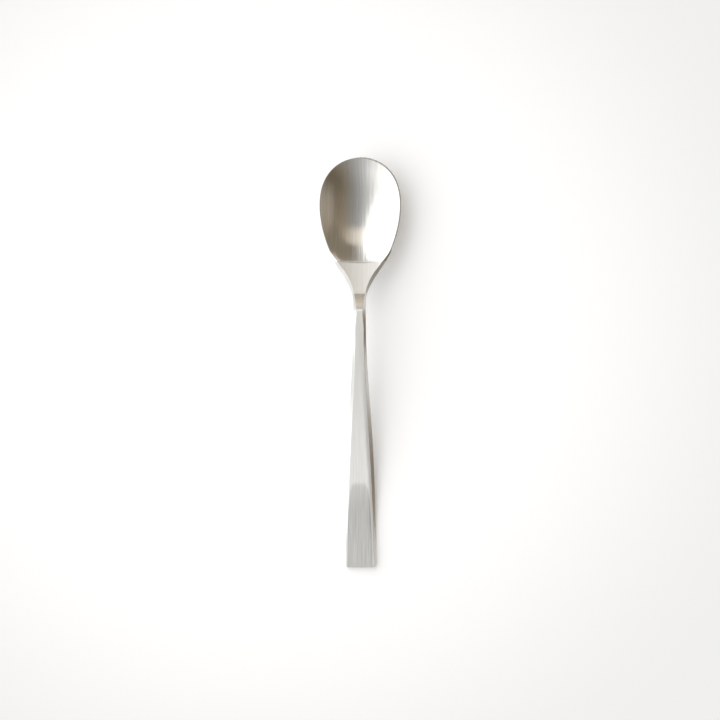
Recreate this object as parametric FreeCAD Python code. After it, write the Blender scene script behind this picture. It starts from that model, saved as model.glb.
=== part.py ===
"""Dinner spoon in brushed stainless steel, one solid piece.

An egg-shaped bowl runs through a flat throat into a narrow neck. A short ramp climbs from the
throat to the thicker handle, a flat-topped bar with sloping flanks that widens to a square end.

Millimetres. +Y points from the handle's end to the bowl's tip, +X to the right and +Z up.
The origin is on the table, midway along the length and on the centreline.
"""
import FreeCAD, Part
import math
import os

# Lengths along the spoon
bowl_length = 49.3
throat_length = 15.4
ramp_length = 8.3
handle_length = 122.0

# Bowl outline seen from above
bowl_width = 39.1
bowl_tip_radius = 20.3
bowl_widest_from_tip = 22.6
mouth_width = 24.4
mouth_bow = 1.2

# Bowl hollow, and the belly under it
bowl_depth = 8.4
bowl_fullness = 0.3
bowl_swell = 0.6
rim_land = 0.75
rim_wall = 1.0
belly_depth = 8.9
belly_lead = 15.0
rest_wear = 0.05

# Throat, neck and handle seen from above
landing_width = 7.0
crest_width = 5.8
waist_width = 6.4
waist_from_crest = 17.5
handle_mid_width = 11.0
handle_mid_from_end = 68.0
handle_end_width = 14.4
end_corner_radius = 1.3

# Side view: the top line
rim_tip_rise = 0.7
rim_low_from_tip = 30.0
mouth_rise = 1.5
throat_slope = 0.24
ramp_rise = 2.9
ramp_foot_slope = 0.58
ramp_head_slope = 0.16
handle_end_thickness = 2.1
handle_level_length = 24.0
handle_level_rise = 0.35
handle_mid_height = 9.4
handle_crest_slope = 0.05

# Side view: metal between the top line and the lower edge of the sides
mouth_wall = 1.9
landing_thickness = 3.2
crest_thickness = 4.2
waist_thickness = 3.8
handle_mid_thickness = 3.2
rest_length = 20.0
rest_relief = 0.4

# Sloping flanks seen from above, each measured across the spoon
flank_at_end = 0.5
flank_end_flare = 0.02
flank_at_mid = 1.6
flank_at_waist = 1.1
flank_at_crest = 1.02
flank_at_landing = 1.1
flank_at_throat = 2.0
flank_throat_from_landing = 10.5
flank_at_mouth = 1.6

# Upright land left below each flank, and the place where the flank runs out into the rim
land_end = 1.2
land_mid = 1.5
land_waist = 2.5
land_crest = 2.6
land_landing = 1.6
land_mouth = 0.8
land_runout_slope = 0.25
flank_runout_from_mouth = 5.5

# Rounding of the edges
rim_round = 0.35
rim_inner_round = 0.2
lower_round = 0.3
handle_top_round = 0.15
mouth_round = 0.8
most_of_wall = 0.4

# Places along the spoon
tip_y = (bowl_length + throat_length + ramp_length + handle_length) / 2
mouth_y = tip_y - bowl_length
landing_y = mouth_y - throat_length
crest_y = landing_y - ramp_length
end_y = crest_y - handle_length
waist_y = crest_y - waist_from_crest
mid_y = end_y + handle_mid_from_end
level_y = end_y + handle_level_length
rest_y = end_y + rest_length
rim_low_y = tip_y - rim_low_from_tip
belly_y = mouth_y - belly_lead
throat_y = landing_y + flank_throat_from_landing
runout_y = mouth_y + flank_runout_from_mouth

# Heights above the table
rim_low_z = belly_depth + rim_wall - rest_wear
mouth_z = rim_low_z + mouth_rise
landing_z = mouth_z + throat_slope * throat_length
crest_z = landing_z + ramp_rise
tip_z = rim_low_z + rim_tip_rise
tip_slope = 2 * rim_tip_rise / rim_low_from_tip

# Reach of the cutting surfaces past the metal, and the steps that they are drawn with
overrun = 4.0
sky = 40.0
steps_across = 12
step_along = 3.0
outline_steps = 16
flank_reach = 6.0
flank_overrun = 1.0


def smooth_line(stations, start_slope, end_slope):
    """Curve of unbroken curvature through (place, value) stations, as (place, value, slope) knots."""
    places = [place for place, value in stations]
    values = [value for place, value in stations]
    last = len(stations) - 1
    spans = [places[i + 1] - places[i] for i in range(last)]
    rises = [(values[i + 1] - values[i]) / spans[i] for i in range(last)]
    factors = [0.0]
    slopes = [start_slope]
    for i in range(1, last):
        diagonal = 2 * (spans[i - 1] + spans[i]) - spans[i] * factors[i - 1]
        target = 3 * (spans[i] * rises[i - 1] + spans[i - 1] * rises[i])
        factors.append(spans[i - 1] / diagonal)
        slopes.append((target - spans[i] * slopes[i - 1]) / diagonal)
    slopes.append(end_slope)
    for i in range(last - 1, 0, -1):
        slopes[i] -= factors[i] * slopes[i + 1]
    return list(zip(places, values, slopes))


def value_at(line, place):
    """Height or half width of a line at a place along the spoon, and straight on past its ends."""
    for start, end in zip(line, line[1:]):
        if start[0] < place <= end[0]:
            span = end[0] - start[0]
            t = (place - start[0]) / span
            leaving = start[1] * (1 + 2 * t) + start[2] * span * t
            arriving = end[1] * (3 - 2 * t) - end[2] * span * (1 - t)
            return (1 - t) ** 2 * leaving + t ** 2 * arriving
    near = line[0] if place <= line[0][0] else line[-1]
    return near[1] + near[2] * (place - near[0])


def edge_along(line, to_point):
    """One smooth edge that follows a line; to_point turns (place, value) into a point."""
    poles = [to_point(line[0][0], line[0][1])]
    for start, end in zip(line, line[1:]):
        third = (end[0] - start[0]) / 3
        poles.append(to_point(start[0] + third, start[1] + third * start[2]))
        poles.append(to_point(end[0] - third, end[1] - third * end[2]))
    poles.append(to_point(line[-1][0], line[-1][1]))
    knots = [place for place, value, slope in line]
    counts = [4] + [2] * (len(line) - 2) + [4]
    curve = Part.BSplineCurve()
    curve.buildFromPolesMultsKnots(poles, counts, knots, False, 3)
    return curve.toShape()


def side_point(place, height):
    return FreeCAD.Vector(-bowl_width, place, height)


def right_point(place, half_width):
    return FreeCAD.Vector(half_width, place, 0)


def left_point(place, half_width):
    return FreeCAD.Vector(-half_width, place, 0)


def egg_ratio(from_tip, tip_radius, half_width, widest, mouth_half, mouth):
    """Squared half width of an egg outline, divided by the distance from its tip."""
    at_tip = 2 * tip_radius
    at_widest = half_width ** 2 / widest
    at_mouth = mouth_half ** 2 / mouth
    first = (at_widest - at_tip) / widest
    level = -half_width ** 2 / widest ** 2
    past = (at_mouth - at_widest) / (mouth - widest)
    second = (level - first) / widest
    second_past = (past - level) / (mouth - widest)
    third = (second_past - second) / mouth
    near = at_tip + first * from_tip
    return near + from_tip * (from_tip - widest) * (second + third * (from_tip - widest))


def outline_ratio(from_tip):
    return egg_ratio(from_tip, bowl_tip_radius, bowl_width / 2, bowl_widest_from_tip,
                     mouth_width / 2, bowl_length)


def outline_half(from_tip):
    return math.sqrt(from_tip * outline_ratio(from_tip))


def hollow_ratio(from_tip):
    return egg_ratio(from_tip, bowl_tip_radius - rim_land, bowl_width / 2 - rim_land,
                     bowl_widest_from_tip - rim_land, mouth_width / 2 - rim_land,
                     bowl_length - rim_land)


def plan_ratio(along):
    """Squared half width of the whole outline, divided by the distance from the bowl's tip."""
    from_tip = tip_y - along
    if along < mouth_y:
        return value_at(side_line, along) ** 2 / from_tip
    return outline_ratio(from_tip)


def fuller(drop, depth):
    """The same drop in a fuller section, flatter at the bottom and steeper at the rim."""
    share = drop / depth
    return drop * (1 + bowl_fullness * (1 - share))


def hollow_drop(across, along):
    """Depth of the hollow below the rim line, negative outside the hollow."""
    length = bowl_length - rim_land
    from_tip = tip_y - rim_land - along
    bow = mouth_bow * (1 - (2 * across / mouth_width) ** 2)
    share = (along - mouth_y + bow) / length
    turn = bowl_swell - 1
    deepest = (turn + math.sqrt(turn ** 2 + 3 * bowl_swell)) / (3 * bowl_swell)
    peak = deepest * (1 - deepest) * (1 + bowl_swell * deepest)
    dish = (from_tip - across ** 2 / hollow_ratio(min(from_tip, length))) / length
    return fuller(bowl_depth * share * (1 + bowl_swell * share) * dish / peak, bowl_depth)


def belly_drop(across, along):
    """Depth of the belly below the lower edge of the sides. It starts level under the throat."""
    length = bowl_length + belly_lead
    from_tip = tip_y - along
    share = max(0.0, (along - belly_y) / length)
    peak = 4 / 27
    dish = (from_tip - across ** 2 / plan_ratio(along)) / length
    return fuller(belly_depth * share ** 2 * dish / peak, belly_depth)


# Plan view: half width from the handle's end to the mouth of the bowl, where the egg goes on
mouth_flare = (outline_half(bowl_length - 0.01) - outline_half(bowl_length + 0.01)) / 0.02
side_line = smooth_line(
    [(end_y, handle_end_width / 2), (mid_y, handle_mid_width / 2), (waist_y, waist_width / 2),
     (crest_y, crest_width / 2), (landing_y, landing_width / 2), (mouth_y, mouth_width / 2)],
    0.0, mouth_flare)

# Plan view: half width of the flat top face between the flanks, up to the mouth
face_line = smooth_line(
    [(place, value_at(side_line, place) - flank) for place, flank in (
        (end_y, flank_at_end), (mid_y, flank_at_mid), (waist_y, flank_at_waist),
        (crest_y, flank_at_crest), (landing_y, flank_at_landing), (throat_y, flank_at_throat),
        (mouth_y, flank_at_mouth))], -flank_end_flare, mouth_flare)

# Side view: the top line, whose pieces meet at the mouth and at two creases
handle_line = smooth_line(
    [(end_y, handle_end_thickness), (level_y, handle_end_thickness + handle_level_rise),
     (mid_y, handle_mid_height), (crest_y, crest_z)], 0.0, handle_crest_slope)
ramp_line = smooth_line([(crest_y, crest_z), (landing_y, landing_z)],
                        -ramp_head_slope, -ramp_foot_slope)
throat_line = smooth_line([(landing_y, landing_z), (mouth_y, mouth_z)],
                          -throat_slope, -throat_slope)
rim_line = smooth_line([(mouth_y, mouth_z), (rim_low_y, rim_low_z), (tip_y, tip_z)],
                       -throat_slope, tip_slope)

# Side view: the lower edge of the sides, which touches the table at the handle's end
under_line = smooth_line(
    [(end_y, -rest_relief), (rest_y, 0.0), (mid_y, handle_mid_height - handle_mid_thickness),
     (waist_y, value_at(handle_line, waist_y) - waist_thickness),
     (crest_y, crest_z - crest_thickness), (landing_y, landing_z - landing_thickness),
     (mouth_y, mouth_z - mouth_wall), (rim_low_y, rim_low_z - rim_wall),
     (tip_y, tip_z - rim_wall)], 0.0, tip_slope)

# Side view: height of the upright land, which takes up the whole wall past the run-out
land_line = smooth_line(
    [(end_y, land_end), (mid_y, land_mid), (waist_y, land_waist), (crest_y, land_crest),
     (landing_y, land_landing), (mouth_y, land_mouth),
     (runout_y, value_at(rim_line, runout_y) - value_at(under_line, runout_y))],
    0.0, land_runout_slope)


def top_at(place):
    for line in (handle_line, ramp_line, throat_line):
        if place <= line[-1][0]:
            return value_at(line, place)
    return value_at(rim_line, place)


def plan_block():
    """The outline seen from above, raised into an upright block with rounded end corners."""
    egg = []
    for step in range(-outline_steps, outline_steps + 1):
        root = math.sqrt(bowl_length) * step / outline_steps
        half = math.copysign(outline_half(root ** 2), root)
        egg.append(FreeCAD.Vector(half, tip_y - root ** 2, 0))
    bowl = Part.BSplineCurve()
    bowl.interpolate(Points=egg, InitialTangent=FreeCAD.Vector(-mouth_flare, 1, 0),
                     FinalTangent=FreeCAD.Vector(-mouth_flare, -1, 0))
    end = Part.makeLine(left_point(end_y, handle_end_width / 2),
                        right_point(end_y, handle_end_width / 2))
    wire = Part.Wire([bowl.toShape(), edge_along(side_line, left_point), end,
                      edge_along(side_line, right_point)])
    block = Part.Face(wire).extrude(FreeCAD.Vector(0, 0, sky))
    corners = [edge for edge in block.Edges
               if edge.BoundBox.YMax < end_y + 0.01 and edge.BoundBox.ZLength > sky / 2]
    return block.makeFillet(end_corner_radius, corners)


def block_below(line):
    """Everything under one piece of the top line, down to the table."""
    top = edge_along(line, side_point)
    low = Part.makePolygon([side_point(line[-1][0], line[-1][1]), side_point(line[-1][0], 0),
                            side_point(line[0][0], 0), side_point(line[0][0], line[0][1])])
    face = Part.Face(Part.Wire([top] + low.Edges))
    return face.extrude(FreeCAD.Vector(2 * bowl_width, 0, 0))


def surface_of(height_at, start, end):
    """Smooth surface over the spoon's width from start to end, from a height function."""
    reach = bowl_width / 2 + overrun
    count = math.ceil((end - start) / step_along)
    across_step = 2 * reach / steps_across
    along_step = (end - start) / count
    heights = [[height_at(-reach + i * across_step, start + j * along_step)
                for j in range(count + 1)] for i in range(steps_across + 1)]
    surface = Part.BSplineSurface()
    surface.interpolate(heights, -reach, across_step, start, along_step)
    return surface.toShape()


def under_height(across, along):
    return value_at(under_line, along) - belly_drop(across, along)


def hollow_height(across, along):
    return value_at(rim_line, along) - hollow_drop(across, along)


def flank_lean(place):
    """How far a flank leans inwards for each millimetre that it rises."""
    rise = top_at(place) - value_at(under_line, place) - value_at(land_line, place)
    return (value_at(side_line, place) - value_at(face_line, place)) / rise


def flank_cutter(side):
    """Everything beyond one sloping flank, which runs out into the rim of the bowl."""
    start = end_y - overrun
    length = runout_y + overrun - start
    count = math.ceil(length / step_along)
    lower = []
    upper = []
    for step in range(count + 1):
        along = start + length * step / count
        place = max(along, end_y)
        lean = flank_lean(min(place, mouth_y))
        foot = value_at(under_line, place) + value_at(land_line, place)
        half = value_at(side_line, place)
        if place > mouth_y:
            half = outline_half(tip_y - place)
        low_half = half + flank_overrun * lean
        high_half = half - flank_reach * lean
        lower.append(FreeCAD.Vector(side * low_half, along, foot - flank_overrun))
        upper.append(FreeCAD.Vector(side * high_half, along, foot + flank_reach))
    low_curve = Part.BSplineCurve()
    low_curve.interpolate(Points=lower)
    high_curve = Part.BSplineCurve()
    high_curve.interpolate(Points=upper)
    face = Part.makeRuledSurface(low_curve.toShape(), high_curve.toShape())
    return face.extrude(FreeCAD.Vector(side * bowl_width, 0, 0))


def rounded(shape, radius, point):
    """The shape with the run of edges through a point rounded."""
    spot = Part.Vertex(point)
    edge = min(shape.Edges, key=lambda each: each.distToShape(spot)[0])
    return shape.makeFillet(radius, [edge])


def round_edges(spoon):
    widest_y = tip_y - bowl_widest_from_tip
    rim_z = value_at(rim_line, widest_y)
    foot_z = value_at(under_line, mid_y)
    face_half = value_at(face_line, mid_y)
    spoon = rounded(spoon, min(lower_round, most_of_wall * rim_wall),
                    FreeCAD.Vector(handle_mid_width / 2, mid_y, foot_z))
    spoon = rounded(spoon, min(rim_round, most_of_wall * rim_wall),
                    FreeCAD.Vector(bowl_width / 2, widest_y, rim_z))
    spoon = rounded(spoon, min(rim_inner_round, most_of_wall * rim_land),
                    FreeCAD.Vector(bowl_width / 2 - rim_land, widest_y, rim_z))
    lip = FreeCAD.Vector(0, mouth_y - mouth_bow, mouth_z + throat_slope * mouth_bow)
    spoon = rounded(spoon, mouth_round, lip)
    for side in (-1, 1):
        spoon = rounded(spoon, handle_top_round,
                        FreeCAD.Vector(side * face_half, mid_y, handle_mid_height))
    return spoon


def make_spoon():
    blank = block_below(handle_line)
    for line in (ramp_line, throat_line, rim_line):
        blank = blank.fuse(block_below(line))
    blank = blank.removeSplitter().common(plan_block())
    above_belly = surface_of(under_height, end_y - overrun, tip_y + overrun)
    blank = blank.common(above_belly.extrude(FreeCAD.Vector(0, 0, sky)))
    hollow = surface_of(hollow_height, mouth_y - mouth_bow - overrun / 2, tip_y + overrun)
    spoon = blank.cut(hollow.extrude(FreeCAD.Vector(0, 0, sky)))
    for side in (-1, 1):
        spoon = spoon.cut(flank_cutter(side))
    return round_edges(spoon).Solids[0]


os.makedirs("parts", exist_ok=True)
spoon = make_spoon()
print("spoon", spoon.ShapeType, len(spoon.Solids), spoon.isValid(), spoon.BoundBox, spoon.Volume)
spoon.exportStep("parts/spoon.step")
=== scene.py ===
"""Looks of the dinner spoon: brushed stainless steel on a white table, seen from straight above.

Everything is in metres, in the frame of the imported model: +Y to the bowl's tip and +Z up.
"""

import bpy
from mathutils import Matrix, Vector


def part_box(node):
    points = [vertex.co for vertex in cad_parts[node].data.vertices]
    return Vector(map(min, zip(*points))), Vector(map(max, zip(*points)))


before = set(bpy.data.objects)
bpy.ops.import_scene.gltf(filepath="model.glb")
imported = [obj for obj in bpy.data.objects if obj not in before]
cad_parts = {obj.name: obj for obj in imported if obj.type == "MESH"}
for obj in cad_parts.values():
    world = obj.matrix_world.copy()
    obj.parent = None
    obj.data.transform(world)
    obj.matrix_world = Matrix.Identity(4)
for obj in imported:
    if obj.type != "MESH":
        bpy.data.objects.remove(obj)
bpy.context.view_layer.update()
low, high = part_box("spoon")

# The photograph, in its own pixels: its side and its centre, then rows down the spoon
photo_side_px = 720
photo_centre_px = 359.5
spoon_tip_px = 156.8
mouth_px = 261.0
landing_px = 293.5
crest_px = 311.0
edge_px = 370.0
patch_start_px = 484.0
spoon_end_px = 568.6
metres_per_px = (high.y - low.y) / (spoon_end_px - spoon_tip_px)


def y_of(row_px):
    """Place along the spoon that a row of the photograph shows."""
    return high.y - (row_px - spoon_tip_px) * metres_per_px


# Places along the spoon: the end of the bowl's hollow, the foot and the head of the ramp, a place on the
# handle where its right edge is given, and the start of the brushed end
mouth_y = y_of(mouth_px)
landing_y = y_of(landing_px)
crest_y = y_of(crest_px)
edge_y = y_of(edge_px)
patch_y = y_of(patch_start_px)

# Camera, straight above and a little to the right
camera_height = 0.90
camera_right = 0.030
aim_height = 0.009
camera_aim = Vector((0.0, y_of(photo_centre_px), aim_height))
sensor_width = 36.0

# Studio, as directions seen from the table, from -1 to 1: X to the right and Y to the bowl's tip
# A wide window on the left; its edge leans, and is soft towards the handle's end
window_colour = (2.30, 2.30, 2.28)
window_edge = [(-1.0, -0.58), (-0.5, -0.66), (-0.2, -0.61), (0.0, -0.49), (0.2, -0.35),
               (0.4, -0.25), (0.6, -0.18), (0.8, -0.15), (1.0, -0.15)]
window_softness = [(-1.0, 0.36), (-0.2, 0.26), (0.2, 0.16), (0.6, 0.08), (0.8, 0.03), (1.0, 0.03)]
# A grey ceiling that darkens into a brown room on the right
room_across = [(-1.00, (1.00, 1.00, 0.99)), (-0.35, (0.95, 0.95, 0.94)), (-0.20, (0.70, 0.70, 0.69)),
               (0.00, (0.50, 0.50, 0.50)), (0.22, (0.37, 0.36, 0.34)), (0.55, (0.34, 0.29, 0.22)),
               (0.85, (0.31, 0.255, 0.185)), (1.00, (0.60, 0.53, 0.44))]
# How bright the room is along, what share of that is left on the far right, and where across it fades
room_along = [(-1.0, 1.25), (-0.5, 1.05), (0.0, 1.0), (0.35, 1.15), (0.6, 1.35), (1.0, 1.4)]
room_far_right = [(-1.0, 0.6), (-0.45, 0.7), (0.0, 1.0), (1.0, 1.05)]
far_right_across = (0.1, 0.8)
# A warm wall beyond the bowl's tip, with the places along and across between which it fades in and out
glow_colour = (0.54, 0.45, 0.34)
glow_in_along = (0.36, 0.58)
glow_out_along = (1.0, 0.7)
glow_out_across = (0.75, 0.0)
# The dim lower part of the room there, on the right: the higher, the further right it takes over
dusk_colour = (0.31, 0.26, 0.19)
dusk_height = (0.60, 0.48)
dusk_along = (0.25, 0.50)
dusk_start_across = -0.10
dusk_full_across = 0.02
dusk_slant = 0.5
# The white that the camera sees behind everything
backdrop_colour = (1.0, 1.0, 1.0)

# Floor: white paper with a painted pool of light, brightest to the left of the spoon, and painted shade
# that falls off between two distances from there
floor_half = 3.0
floor_colour = (0.915, 0.925, 0.95)
floor_painted_light_spot = (-0.05, 0.02, 0.0)
floor_painted_shade_start = 0.10
floor_painted_shade_end = 0.27
floor_painted_shade = 0.17
# Light that the paper adds of its own, to what the camera sees and to what the steel reflects
floor_lift = 0.15
floor_glossy_lift = 0.22

# Steel: its colour as far as the crest, and its colour in the brushed end
steel_colour = (0.62, 0.61, 0.59)
end_colour = (0.615, 0.613, 0.604)
# A fine satin in the bowl and on the ramp, a coarse one on the throat and the handle, and one between
# them in the brushed end, all of it brushed along the spoon
anisotropy = 0.8
bowl_roughness = 0.17
throat_roughness = 0.46
ramp_roughness = 0.18
handle_roughness = 0.46
patch_roughness = 0.34
# How far to each side of the mouth and the landing a finish blends into the next one, and how far
# before and past the crest, going down from the bowl's tip
zone_blend = 0.0006
crest_blend_before = 0.0013
crest_blend_past = 0.0001
# Streaks of the brushing: width, length and detail
broad_streak = (0.0011, 0.030, 2.0)
narrow_streak = (0.0005, 0.014, 1.0)
fine_streak = (0.00025, 0.008, 1.0)
streak_roughness = 0.6
# How much streaks change the roughness and the tone, and how much more the tone of the brushed end
roughness_change = 0.16
tone_change = 0.14
patch_tone_change = 0.30
# Streaks as grooves: their depth, and the shares of the narrow and fine ones beside the broad ones
groove_depth = 0.00004
narrow_height = 0.35
fine_height = 0.12
# The handle's narrow sides, its flanks, are smoother and lean upwards. They are where the height of
# the surface's normal is under flank_normal, and its faces are where that is over face_normal
flank_normal = 0.80
face_normal = 0.95
flank_roughness = 0.26
flank_rise = 0.15
# The surface leans to the left on the handle, more and more from the crest to the brushed end, where
# it leans little. A lean under 0 is to the right, as on the ramp
ramp_foot_lean = -0.32
ramp_head_lean = -0.02
crest_lean = 0.19
handle_lean = 0.41
patch_lean = 0.07
# The throat is dished a little from side to side, in lean for each metre
throat_dish = 20.0
# The handle's right edge: its X at edge_y, its least X, its flare for each metre down the handle, the
# width over which it is softly rounded, and the lean that does so
edge_right_x = 0.0019
edge_least_x = 0.0013
edge_flare = 0.055
edge_width = 0.0018
edge_lean = -0.38
# The brushed end: it starts in a straight line with round corners, spreads to the handle's edges,
# blends in before and past its start, and reaches its full share a little further down
patch_centre_x = -0.0005
patch_half_width = 0.0049
patch_corner_drop = 0.0085
patch_corner_power = 6.0
patch_blend_before = 0.0030
patch_blend_past = 0.0016
patch_start_share = 0.80
patch_fade_length = 0.014
# The bowl's lip is buffed a little rounder. These heights of the surface's normal are where that
# begins inside the bowl, where it is full and where it ends outside
lip_rise = 0.16
lip_inner_normal = 0.80
lip_full_normal = 0.72
lip_outer_normal = 0.30


class Tree:
    """A few short ways to add and link nodes in one node tree."""

    # The Mix node has sockets of one name for numbers, vectors and colours: these are the colours'
    mix_first = 6
    mix_second = 7
    mix_result = 2

    def __init__(self, tree):
        self.tree = tree

    def node(self, kind, links=None, **settings):
        made = self.tree.nodes.new(kind)
        for name, value in settings.items():
            setattr(made, name, value)
        for socket, value in (links or {}).items():
            self.feed(made.inputs[socket], value)
        return made

    def feed(self, socket, value):
        """Give a socket a number or a colour, or link it to a socket or to a node's first one."""
        if isinstance(value, bpy.types.NodeSocket):
            self.tree.links.new(value, socket)
        elif isinstance(value, bpy.types.Node):
            self.tree.links.new(value.outputs[0], socket)
        else:
            socket.default_value = value

    def parts(self, vector):
        """X, Y and Z of a vector."""
        return tuple(self.node("ShaderNodeSeparateXYZ", {0: vector}).outputs)

    def math(self, operation, *values):
        return self.node("ShaderNodeMath", dict(enumerate(values)), operation=operation).outputs[0]

    def vector(self, operation, *values):
        return self.node("ShaderNodeVectorMath", dict(enumerate(values)), operation=operation).outputs[0]

    def step(self, value, share, change):
        """A value that has the whole change where the share is 1, and none where it is 0."""
        return self.math("MULTIPLY_ADD", share, change, value)

    def vary(self, value, streak, change):
        """A value that a streak of 0 to 1 lowers and raises, each by half of the change."""
        return self.step(value, self.math("SUBTRACT", streak, 0.5), change)

    def smooth(self, value, start, end, first=0.0, last=1.0):
        """Go from first to last as a value goes from start to end, with a soft beginning and end."""
        made = self.node("ShaderNodeMapRange", {"Value": value, "From Min": start, "From Max": end,
                                                "To Min": first, "To Max": last})
        made.interpolation_type = "SMOOTHSTEP"
        return made.outputs["Result"]

    def colours(self, value, stops):
        """Colour that follows a value between -1 and 1 through (value, colour) stops."""
        share = self.math("MULTIPLY_ADD", value, 0.5, 0.5)
        made = self.node("ShaderNodeValToRGB", {"Fac": share})
        made.color_ramp.interpolation = "CARDINAL"
        elements = made.color_ramp.elements
        while len(elements) < len(stops):
            elements.new(0.5)
        for element, (place, colour) in zip(elements, stops):
            element.position = (place + 1) / 2
            element.color = (*colour, 1.0)
        return made.outputs["Color"]

    def curve(self, value, stops):
        """Number that follows a value between -1 and 1 through (value, number) stops."""
        lowest = min(number for place, number in stops)
        span = max(number for place, number in stops) - lowest
        shares = [(place, [(number - lowest) / span] * 3) for place, number in stops]
        return self.math("MULTIPLY_ADD", self.colours(value, shares), span, lowest)

    def mix(self, share, first, second):
        """Colour from first to second, each of them a link or three numbers."""
        made = self.node("ShaderNodeMix", data_type="RGBA")
        self.feed(made.inputs["Factor"], share)
        for socket, colour in ((self.mix_first, first), (self.mix_second, second)):
            self.feed(made.inputs[socket], (*colour, 1.0) if isinstance(colour, tuple) else colour)
        return made.outputs[self.mix_result]

    def scaled(self, colour, factor):
        made = self.node("ShaderNodeVectorMath", {0: colour}, operation="SCALE")
        self.feed(made.inputs["Scale"], factor)
        return made.outputs[0]


def make_camera():
    """Camera that sees as much around the place it aims at as the photograph shows."""
    data = bpy.data.cameras.new("camera")
    camera = bpy.data.objects.new("camera", data)
    bpy.context.scene.collection.objects.link(camera)
    place = Vector((camera_right, camera_aim.y, camera_height))
    back = (place - camera_aim).normalized()
    right = Vector((0.0, 1.0, 0.0)).cross(back).normalized()
    turned = Matrix((right, back.cross(right), back)).transposed()
    camera.matrix_world = Matrix.Translation(place) @ turned.to_4x4()
    data.sensor_width = sensor_width
    data.lens = sensor_width * (place - camera_aim).length / (photo_side_px * metres_per_px)
    bpy.context.scene.camera = camera


def room_light(tree, across, along, height):
    """Colour of the room around the window, with the warm wall and the dim part below it."""
    far_right = tree.math("SUBTRACT", tree.curve(along, room_far_right), 1.0)
    dimmed = tree.step(1.0, tree.smooth(across, *far_right_across), far_right)
    level = tree.math("MULTIPLY", tree.curve(along, room_along), dimmed)
    room = tree.scaled(tree.colours(across, room_across), level)

    glow = tree.math("MULTIPLY", tree.smooth(along, *glow_in_along), tree.smooth(along, *glow_out_along))
    glow = tree.math("MULTIPLY", glow, tree.smooth(across, *glow_out_across))
    room = tree.vector("ADD", room, tree.scaled(glow_colour, glow))

    dusk = tree.math("MULTIPLY", tree.smooth(height, *dusk_height), tree.smooth(along, *dusk_along))
    full = tree.step(dusk_full_across, height, dusk_slant)
    dusk = tree.math("MULTIPLY", dusk, tree.smooth(across, dusk_start_across, full))
    return tree.mix(dusk, room, dusk_colour)


def make_world():
    """Light from all around, by direction: the room with its window."""
    world = bpy.data.worlds.new("studio")
    bpy.context.scene.world = world
    world.use_nodes = True
    tree = Tree(world.node_tree)
    across, along, height = tree.parts(tree.node("ShaderNodeTexCoord").outputs["Generated"])
    edge = tree.curve(along, window_edge)
    softness = tree.curve(along, window_softness)
    window = tree.smooth(across, tree.math("ADD", edge, softness), tree.math("SUBTRACT", edge, softness))
    colour = tree.mix(window, room_light(tree, across, along, height), window_colour)
    seen = tree.node("ShaderNodeLightPath").outputs["Is Camera Ray"]
    colour = tree.mix(seen, colour, backdrop_colour)
    tree.feed(world.node_tree.nodes["Background"].inputs["Color"], colour)


def paper_material():
    """White paper with a little light of its own, and with painted light: its colour and that light fall
    off slowly from a painted bright spot.
    """
    paper = bpy.data.materials.new("paper")
    paper.use_nodes = True
    tree = Tree(paper.node_tree)
    paper.node_tree.nodes.remove(paper.node_tree.nodes["Principled BSDF"])
    place = tree.node("ShaderNodeTexCoord").outputs["Object"]
    away = tree.node("ShaderNodeVectorMath", {0: place, 1: floor_painted_light_spot},
                     operation="DISTANCE").outputs["Value"]
    # Painted shade: the paper's colour and its own light are darkened away from the painted bright spot
    level = tree.smooth(away, floor_painted_shade_start, floor_painted_shade_end, 1.0, 1.0 - floor_painted_shade)
    diffuse = tree.node("ShaderNodeBsdfDiffuse", {"Color": tree.scaled(floor_colour, level)})
    path = tree.node("ShaderNodeLightPath")
    lift = tree.math("MULTIPLY", path.outputs["Is Glossy Ray"], floor_glossy_lift)
    lift = tree.step(lift, path.outputs["Is Camera Ray"], floor_lift)
    glow = tree.node("ShaderNodeEmission", {"Strength": tree.math("MULTIPLY", lift, level)})
    both = tree.node("ShaderNodeAddShader", {0: diffuse, 1: glow})
    tree.feed(paper.node_tree.nodes["Material Output"].inputs["Surface"], both)
    return paper


def make_floor():
    """A large square of paper under the spoon."""
    mesh = bpy.data.meshes.new("floor")
    corners = [(-floor_half, -floor_half, 0), (floor_half, -floor_half, 0),
               (floor_half, floor_half, 0), (-floor_half, floor_half, 0)]
    mesh.from_pydata(corners, [], [(0, 1, 2, 3)])
    mesh.materials.append(paper_material())
    floor = bpy.data.objects.new("floor", mesh)
    bpy.context.scene.collection.objects.link(floor)


def streaks(tree, place, size):
    """Brushed streaks along the spoon, from 0 to 1, of a size that says width, length and detail."""
    width, length, detail = size
    stretched = tree.node("ShaderNodeMapping", {"Vector": place, "Scale": (1 / width, 1 / length, 0.0)})
    noise = tree.node("ShaderNodeTexNoise", {"Vector": stretched, "Scale": 1.0, "Detail": detail,
                                             "Roughness": streak_roughness})
    return noise.outputs["Fac"]


def patch_share(tree, x, y):
    """Share of the brushed end's finish: none on the rest of the spoon, and 1 well inside it."""
    aside = tree.math("DIVIDE", tree.math("SUBTRACT", x, patch_centre_x), patch_half_width)
    drop = tree.math("POWER", tree.math("ABSOLUTE", aside), patch_corner_power)
    level = tree.step(y, drop, patch_corner_drop)
    inside = tree.smooth(level, patch_y + patch_blend_before, patch_y - patch_blend_past)
    fade = tree.smooth(y, patch_y, patch_y - patch_fade_length, patch_start_share, 1.0)
    return tree.math("MULTIPLY", inside, fade)


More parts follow.
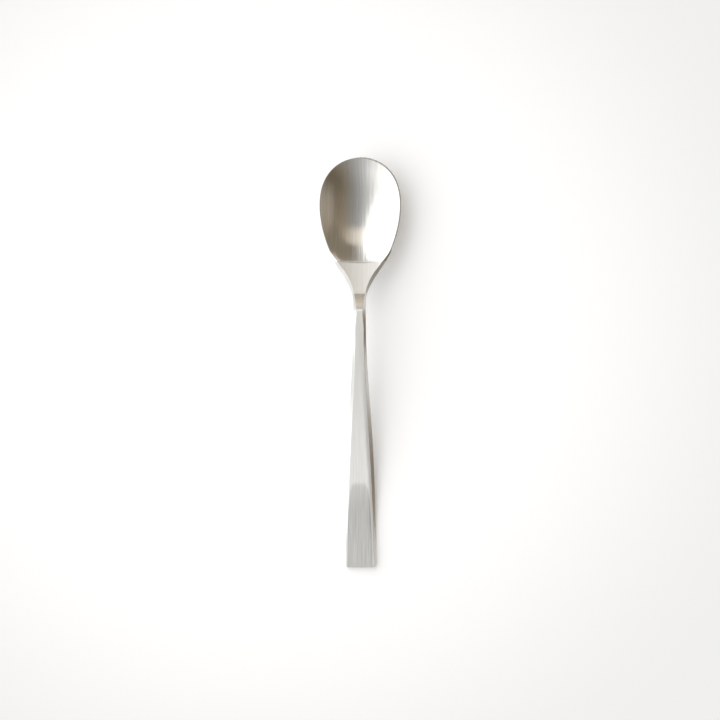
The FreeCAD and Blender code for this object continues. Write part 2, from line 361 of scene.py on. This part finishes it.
def steel_zones(tree, x, y, facing):
    """Shares from 0 to 1 that say where each finish is; down_handle grows from the crest to the patch."""
    bowl = tree.smooth(y, mouth_y - zone_blend, mouth_y + zone_blend)
    before_ramp = tree.smooth(y, landing_y - zone_blend, landing_y + zone_blend)
    face = tree.smooth(tree.math("ABSOLUTE", facing), flank_normal, face_normal)
    return {"bowl": bowl,
            "before_ramp": before_ramp,
            "throat": tree.math("SUBTRACT", before_ramp, bowl),
            "handle": tree.smooth(y, crest_y + crest_blend_before, crest_y - crest_blend_past),
            "down_handle": tree.smooth(y, crest_y, patch_y),
            "patch": patch_share(tree, x, y),
            "face": tree.math("MAXIMUM", face, before_ramp)}


def steel_roughness(tree, zone, fine):
    """Roughness of each zone's finish, with fine streaks on all but the flanks."""
    rough = tree.step(ramp_roughness, zone["before_ramp"], throat_roughness - ramp_roughness)
    rough = tree.step(rough, zone["bowl"], bowl_roughness - throat_roughness)
    rough = tree.step(rough, zone["handle"], handle_roughness - ramp_roughness)
    rough = tree.step(rough, zone["patch"], patch_roughness - handle_roughness)
    rough = tree.vary(rough, fine, roughness_change)
    return tree.step(flank_roughness, zone["face"], tree.math("SUBTRACT", rough, flank_roughness))


def steel_tone(tree, zone, broad, narrow):
    """Colour of the steel, with streaks that are stronger in the brushed end."""
    tone = tree.vary(1.0, broad, tone_change)
    tone = tree.vary(tone, narrow, tree.step(tone_change, zone["patch"], patch_tone_change))
    return tree.scaled(tree.mix(zone["down_handle"], steel_colour, end_colour), tone)


def steel_grooves(tree, broad, narrow, fine):
    """The surface's normal with the streaks as fine grooves."""
    height = tree.step(broad, narrow, narrow_height)
    height = tree.step(height, fine, fine_height)
    return tree.node("ShaderNodeBump", {"Strength": 1.0, "Distance": groove_depth, "Height": height})


def steel_lean(tree, zone, x, y):
    """How much the faces lean to the left."""
    lean = tree.smooth(y, landing_y, crest_y, ramp_foot_lean, ramp_head_lean)
    lean = tree.math("MULTIPLY", lean, tree.math("SUBTRACT", 1.0, zone["before_ramp"]))
    lean = tree.step(lean, zone["handle"], crest_lean - ramp_head_lean)
    lean = tree.step(lean, zone["down_handle"], handle_lean - crest_lean)
    lean = tree.step(lean, zone["patch"], patch_lean - handle_lean)
    lean = tree.step(lean, tree.math("MULTIPLY", x, throat_dish), zone["throat"])
    edge_x = tree.step(edge_right_x, tree.math("SUBTRACT", edge_y, y), edge_flare)
    inside = tree.math("SUBTRACT", tree.math("MAXIMUM", edge_x, edge_least_x), x)
    at_edge = tree.math("MULTIPLY", tree.smooth(inside, edge_width, 0.0), zone["down_handle"])
    return tree.math("MULTIPLY", tree.step(lean, at_edge, edge_lean), zone["face"])


def steel_rise(tree, zone, facing):
    """How much the handle's flanks and the bowl's lip lean upwards."""
    flank = tree.math("MULTIPLY", tree.math("SUBTRACT", 1.0, zone["face"]), flank_rise)
    lip = tree.math("MULTIPLY", tree.smooth(facing, lip_inner_normal, lip_full_normal),
                    tree.smooth(facing, lip_outer_normal, lip_full_normal))
    return tree.step(flank, tree.math("MULTIPLY", lip, zone["bowl"]), lip_rise)


def steel_material():
    """Brushed steel whose streaks run along the spoon, with a finish of its own for each zone."""
    metal = bpy.data.materials.new("brushed_steel")
    metal.use_nodes = True
    tree = Tree(metal.node_tree)
    texture = tree.node("ShaderNodeTexCoord")
    place = texture.outputs["Object"]
    x, y = tree.parts(place)[:2]
    facing = tree.parts(texture.outputs["Normal"])[2]
    zone = steel_zones(tree, x, y, facing)
    broad = streaks(tree, place, broad_streak)
    narrow = streaks(tree, place, narrow_streak)
    fine = streaks(tree, place, fine_streak)
    left = tree.math("MULTIPLY", steel_lean(tree, zone, x, y), -1.0)
    rise = steel_rise(tree, zone, facing)
    tilt = tree.node("ShaderNodeCombineXYZ", {"X": left, "Y": 0.0, "Z": rise})
    leaning = tree.vector("ADD", steel_grooves(tree, broad, narrow, fine), tilt)
    across = tree.node("ShaderNodeCombineXYZ", {"X": 1.0, "Y": 0.0, "Z": 0.0})

    shader = metal.node_tree.nodes["Principled BSDF"]
    shader.inputs["Metallic"].default_value = 1.0
    shader.inputs["Anisotropic"].default_value = anisotropy
    tree.feed(shader.inputs["Base Color"], steel_tone(tree, zone, broad, narrow))
    tree.feed(shader.inputs["Roughness"], steel_roughness(tree, zone, fine))
    tree.feed(shader.inputs["Normal"], tree.vector("NORMALIZE", leaning))
    tree.feed(shader.inputs["Tangent"], across)
    return metal


make_camera()
make_world()
make_floor()
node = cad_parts["spoon"]
node.data.materials.clear()
node.data.materials.append(steel_material())

bpy.context.scene.view_settings.view_transform = "Standard"
